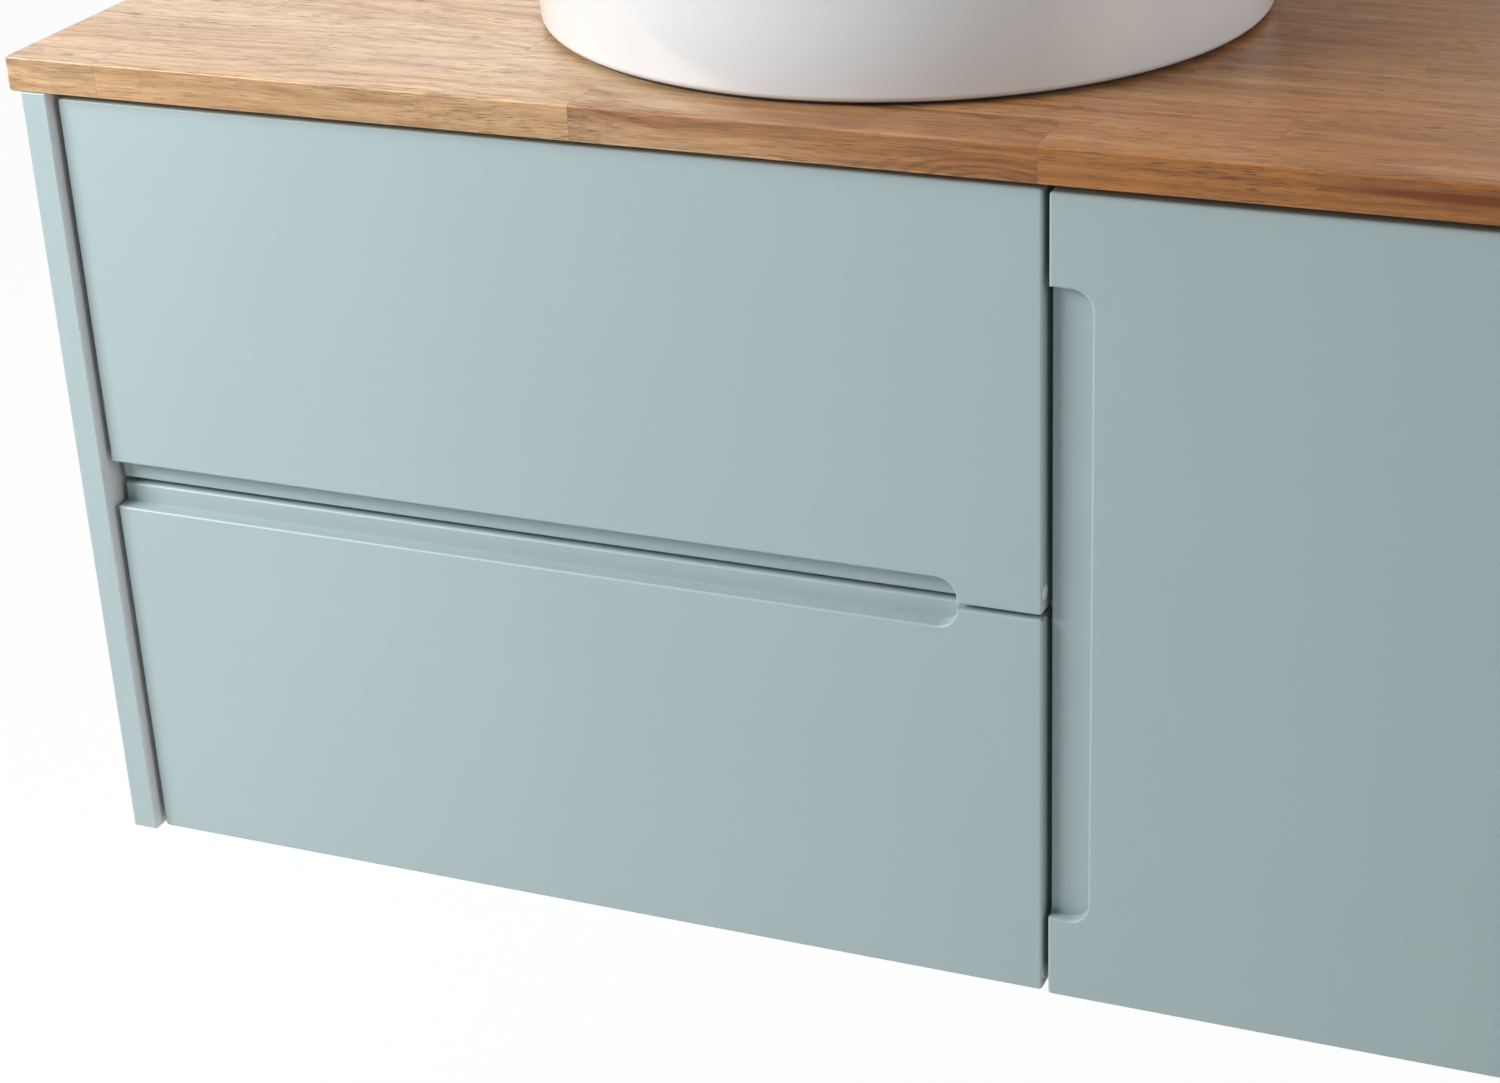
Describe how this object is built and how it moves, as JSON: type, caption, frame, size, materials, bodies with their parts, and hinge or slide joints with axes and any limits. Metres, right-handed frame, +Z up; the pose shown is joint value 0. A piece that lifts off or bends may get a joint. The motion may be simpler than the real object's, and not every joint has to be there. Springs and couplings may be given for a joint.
{
  "type": "vessel sink on vanity",
  "caption": "Wall-hung bathroom vanity with drawers, a cupboard, a timber benchtop and a round straight-sided vessel basin on top.",
  "frame": {"origin": "centre of the four wall-fixing holes, on the wall plane", "axes": "+X along the front to the right, +Y into the wall, +Z up"},
  "size_m": [0.9, 0.46, 0.6322],
  "materials": {
    "painted_front": "satin duck-egg blue paint on board",
    "side_panel": "satin duck-egg blue paint on board",
    "carcass_board": "light grey faced board",
    "bench_timber": "oiled glued staves",
    "dowel_timber": "plain",
    "ceramic": "gloss white glaze",
    "seal_rubber": "matte",
    "plated_brass": "polished",
    "waste_plastic": "moulded white",
    "drawer_box": "light grey faced board",
    "runner_steel": "zinc plated",
    "screw_steel": "zinc plated",
    "hinge_steel": "satin",
    "bumper": "clear soft disc",
    "front_cap": "colour-matched plug"
  },
  "bodies": {
    "carcass": {"side_panel_left": "side_panel", "side_panel_right": "side_panel", "centre_partition": "carcass_board", "bottom_panel": "carcass_board", "top_rail_front": "carcass_board", "top_rail_back": "carcass_board", "hanging_rail": "carcass_board", "lower_back_rail": "carcass_board", "cupboard_back_panel": "carcass_board", "cupboard_shelf": "carcass_board", "benchtop": "bench_timber", "carcass_dowels": "dowel_timber", "basin": "ceramic", "basin_seal": "seal_rubber", "waste_seal": "seal_rubber", "waste_body": "plated_brass", "waste_nut": "plated_brass", "waste_cartridge": "waste_plastic", "trap_tailpiece": "waste_plastic", "trap_inlet_nut": "waste_plastic", "trap_body": "waste_plastic", "trap_cup": "waste_plastic", "trap_outlet_nut": "waste_plastic", "trap_outlet_pipe": "waste_plastic", "upper_runner_cabinet_members": "runner_steel", "lower_runner_cabinet_members": "runner_steel", "bench_screws": "screw_steel", "runner_screws": "screw_steel", "hinge_cabinet_screws": "screw_steel", "shelf_pins": "screw_steel", "hinge_cabinet_leaves": "hinge_steel", "hinge_pins": "hinge_steel", "bumpers": "bumper"},
    "upper_drawer": {"upper_drawer_front": "painted_front", "upper_drawer_inner_front": "drawer_box", "upper_drawer_side_left": "drawer_box", "upper_drawer_side_right": "drawer_box", "upper_drawer_backs": "drawer_box", "upper_drawer_plumbing_guard": "drawer_box", "upper_drawer_base": "drawer_box", "upper_runner_box_members": "runner_steel", "upper_front_screws": "screw_steel", "upper_front_cap": "front_cap"},
    "lower_drawer": {"lower_drawer_front": "painted_front", "lower_drawer_inner_front": "drawer_box", "lower_drawer_side_left": "drawer_box", "lower_drawer_side_right": "drawer_box", "lower_drawer_back": "drawer_box", "lower_drawer_base": "drawer_box", "lower_runner_box_members": "runner_steel", "lower_front_screws": "screw_steel", "lower_front_cap": "front_cap"},
    "upper_runner_slider": {"upper_runner_sliders": "runner_steel"},
    "lower_runner_slider": {"lower_runner_sliders": "runner_steel"},
    "door": {"door": "painted_front", "hinge_door_leaves": "hinge_steel", "hinge_door_screws": "screw_steel"},
    "waste_plug": {"waste_plug": "plated_brass"}
  },
  "joints": [
    {"name": "upper_drawer_slide", "type": "slide", "parent": "carcass", "child": "upper_drawer", "axis": [0, -1, 0], "range_m": [0, 0.3]},
    {"name": "upper_runner_slide", "type": "slide", "parent": "carcass", "child": "upper_runner_slider", "axis": [0, -1, 0], "range_m": [0, 0.15]},
    {"name": "lower_drawer_slide", "type": "slide", "parent": "carcass", "child": "lower_drawer", "axis": [0, -1, 0], "range_m": [0, 0.3]},
    {"name": "lower_runner_slide", "type": "slide", "parent": "carcass", "child": "lower_runner_slider", "axis": [0, -1, 0], "range_m": [0, 0.15]},
    {"name": "door_swing", "type": "hinge", "parent": "carcass", "child": "door", "pos_m": [0.424, -0.4564, 0], "axis": [0, 0, 1], "range_deg": [0, 110]},
    {"name": "plug_slide", "type": "slide", "parent": "carcass", "child": "waste_plug", "axis": [0, 0, 1], "range_m": [0, 0.008]}
  ],
  "couplings": [
    {"joint": "upper_runner_slide", "follows": "upper_drawer_slide", "ratio": 0.5},
    {"joint": "lower_runner_slide", "follows": "lower_drawer_slide", "ratio": 0.5}
  ]
}
